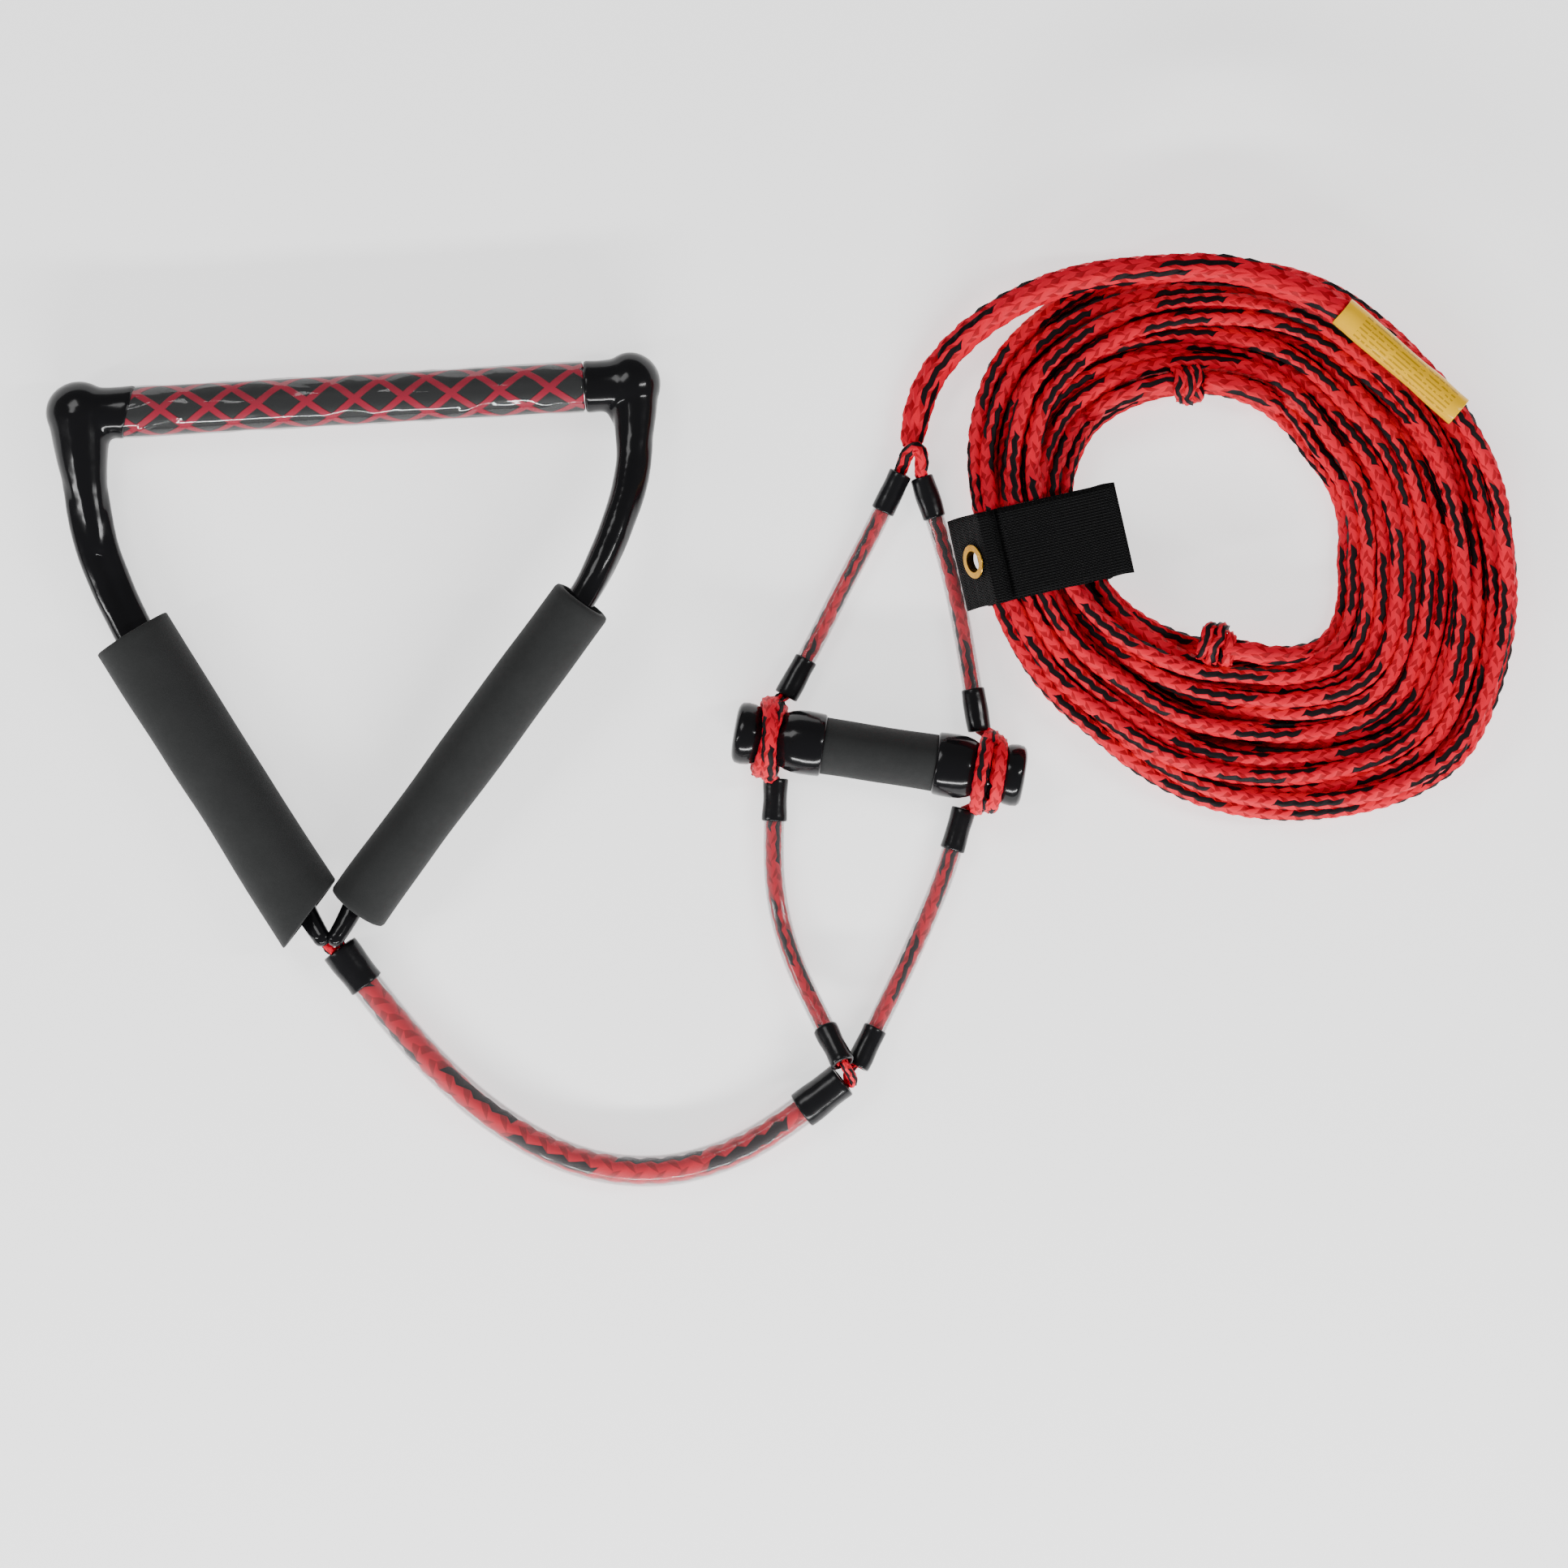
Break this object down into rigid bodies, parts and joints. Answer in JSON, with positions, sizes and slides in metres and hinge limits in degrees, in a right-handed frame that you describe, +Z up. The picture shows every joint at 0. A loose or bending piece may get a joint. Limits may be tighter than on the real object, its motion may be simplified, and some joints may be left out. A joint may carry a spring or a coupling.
{
  "type": "tow rope handle",
  "caption": "Water-sports tow rope handle: diamond grip bar with floated arms, clear-tube tail, cross handle in a rope bridle, and a strapped coil of braided line.",
  "frame": {"origin": "centre of the main grip", "axes": "+X along the main grip bar to its right end, +Z up from the surface it lies on"},
  "size_m": [0.8081, 0.4991, 0.0657],
  "materials": {
    "rope": "red and black braid",
    "clear_tube": "clear flexible tube",
    "sleeve": "glossy black shrink sleeve",
    "bar_metal": "drawn tube",
    "plug_foam": "closed-cell foam",
    "bar_grip": "grey rubber with a red diamond pattern",
    "film": "thin clear film",
    "dipped": "glossy black dipped coating",
    "float_foam": "matte foam",
    "core_plastic": "plain tube",
    "label": "glossy yellow tube",
    "webbing": "ribbed black webbing",
    "brass": "polished"
  },
  "bodies": {
    "lower_bridle": {"lower_left_rope": "rope", "lower_left_tube": "clear_tube", "lower_left_bar_sleeve": "sleeve", "lower_left_apex_sleeve": "sleeve", "lower_right_rope": "rope", "lower_right_tube": "clear_tube", "lower_right_bar_sleeve": "sleeve", "lower_right_apex_sleeve": "sleeve", "lower_apex_knot": "rope", "cross_core": "core_plastic", "cross_grip": "float_foam", "left_cross_cap": "dipped", "right_cross_cap": "dipped", "left_cross_knot": "rope", "right_cross_knot": "rope"},
    "upper_bridle": {"upper_left_rope": "rope", "upper_left_tube": "clear_tube", "upper_left_bar_sleeve": "sleeve", "upper_left_apex_sleeve": "sleeve", "upper_right_rope": "rope", "upper_right_tube": "clear_tube", "upper_right_bar_sleeve": "sleeve", "upper_right_apex_sleeve": "sleeve", "upper_apex_knot": "rope"},
    "main_line": {"spliced_lead": "rope", "label_line": "rope", "rope_coil": "rope", "top_loop_knot": "rope", "bottom_loop_knot": "rope", "strap_band": "webbing", "grommet": "brass"},
    "label": {"label_tube": "label"},
    "strap_flap": {"strap_flap": "webbing"},
    "tail": {"tail_rope": "rope", "tail_tube": "clear_tube", "tail_handle_sleeve": "sleeve", "tail_bridle_sleeve": "sleeve"},
    "handle_knot": {"handle_knot": "rope"},
    "main_handle": {"bar_tube": "bar_metal", "left_bar_plug": "plug_foam", "right_bar_plug": "plug_foam", "bar_grip": "bar_grip", "grip_film": "film", "left_bar_collar": "dipped", "right_bar_collar": "dipped", "bridle_rope": "rope", "left_arm_cover": "dipped", "right_arm_cover": "dipped"},
    "left_float": {"left_float": "float_foam"},
    "right_float": {"right_float": "float_foam"}
  },
  "joints": [
    {"name": "bar_fold", "type": "hinge", "parent": "lower_bridle", "child": "upper_bridle", "pos_m": [0.2772, -0.2126, 0.001], "axis": [0.9781, -0.2079, 0], "range_deg": [0, 60]},
    {"name": "line_swing", "type": "hinge", "parent": "upper_bridle", "child": "main_line", "pos_m": [0.3014, -0.0498, -0.0085], "axis": [0, 0, 1], "range_deg": [0, 17]},
    {"name": "label_slide", "type": "slide", "parent": "main_line", "child": "label", "axis": [0.7185, -0.6956, 0], "range_m": [0, 0.006]},
    {"name": "flap_peel", "type": "hinge", "parent": "main_line", "child": "strap_flap", "pos_m": [0.35328, -0.10633, 0.0284], "axis": [0.1668, -0.986, 0], "range_deg": [0, 75]},
    {"name": "tail_swing", "type": "hinge", "parent": "lower_bridle", "child": "tail", "pos_m": [0.2505, -0.3894, -0.003], "axis": [0, 0, 1], "range_deg": [-8, 40]},
    {"name": "handle_swing", "type": "hinge", "parent": "tail", "child": "handle_knot", "pos_m": [-0.0326, -0.3015, 0.004], "axis": [0, 0, 1], "range_deg": [-5, 40]},
    {"name": "handle_lift", "type": "hinge", "parent": "handle_knot", "child": "main_handle", "pos_m": [-0.0326, -0.3015, 0.004], "axis": [1, 0, 0], "range_deg": [0, 80]},
    {"name": "left_float_slide", "type": "slide", "parent": "main_handle", "child": "left_float", "axis": [-0.4873, 0.8732, 0], "range_m": [0, 0.008]},
    {"name": "right_float_slide", "type": "slide", "parent": "main_handle", "child": "right_float", "axis": [0.6349, 0.7631, 0.1205], "range_m": [0, 0.005]}
  ]
}
